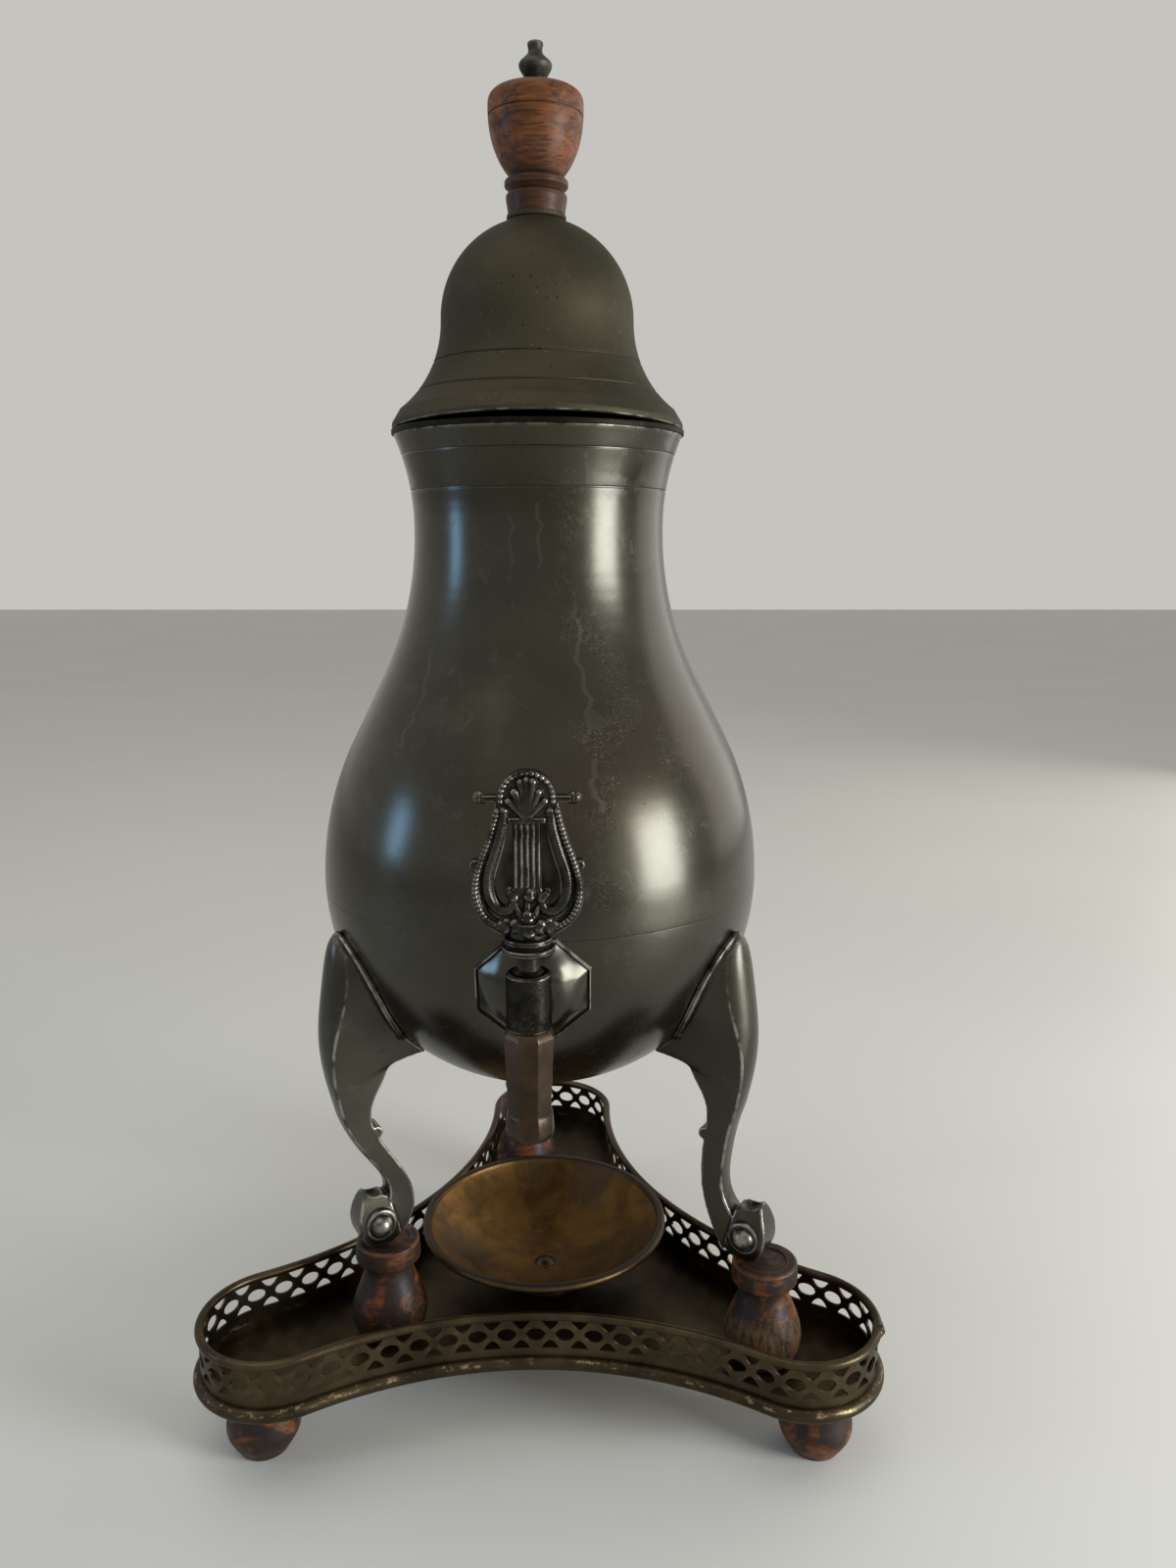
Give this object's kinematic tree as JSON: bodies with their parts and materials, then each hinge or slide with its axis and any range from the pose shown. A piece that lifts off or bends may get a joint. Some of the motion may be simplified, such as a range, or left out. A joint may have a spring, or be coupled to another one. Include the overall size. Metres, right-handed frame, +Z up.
{
  "type": "coffee urn",
  "caption": "Pear-shaped pewter tap urn with bell lid and lyre tap key, on cabriole legs, standing on a three-lobed brass tray with a pierced gallery and a dish.",
  "frame": {"origin": "on the urn's vertical axis at the level of the table that the tray's feet stand on", "axes": "+Z up; the tap points to -Y; +X to the right seen from the tap's side"},
  "size_m": [0.2554, 0.2558, 0.5],
  "materials": {
    "pewter": "satin dark pewter, scratched and stained",
    "tap_metal": "dark cast metal with worn bright edges",
    "tray_brass": "dark brown brass patina with worn edges",
    "dish_brass": "mottled golden brown brass",
    "spout_bronze": "reddish brown patina",
    "wood": "polished reddish brown turned wood, darkened in the grooves"
  },
  "bodies": {
    "tray": {"tray_plate": "tray_brass", "gallery_strip": "tray_brass", "gallery_top_wire": "tray_brass", "gallery_base_bead": "tray_brass", "tray_foot_left": "wood", "tray_foot_right": "wood", "tray_foot_back": "wood", "tray_foot_screws": "tray_brass", "dish_bowl": "dish_brass", "dish_pedestal": "dish_brass", "dish_rivet": "dish_brass"},
    "urn": {"body_lower": "pewter", "body_upper": "pewter", "leg_left": "pewter", "leg_right": "pewter", "leg_back": "pewter", "urn_foot_left": "wood", "urn_foot_right": "wood", "urn_foot_back": "wood", "rosette": "pewter", "tap_barrel": "tap_metal", "spout": "spout_bronze"},
    "key": {"tap_plug": "tap_metal", "key_collar": "tap_metal", "lyre_handle": "tap_metal"},
    "lid": {"lid_bezel": "pewter", "lid_dome": "pewter", "lid_knob": "wood", "finial": "tap_metal", "finial_nut": "tap_metal"}
  },
  "joints": [
    {"name": "urn_lift", "type": "slide", "parent": "tray", "child": "urn", "axis": [0, 0, 1], "range_m": [0, 0.06]},
    {"name": "lid_lift", "type": "slide", "parent": "urn", "child": "lid", "axis": [0, 0, 1], "range_m": [0, 0.05]},
    {"name": "tap_turn", "type": "hinge", "parent": "urn", "child": "key", "pos_m": [0, -0.105, 0.2], "axis": [0, 0, 1], "range_deg": [0, 90]}
  ]
}
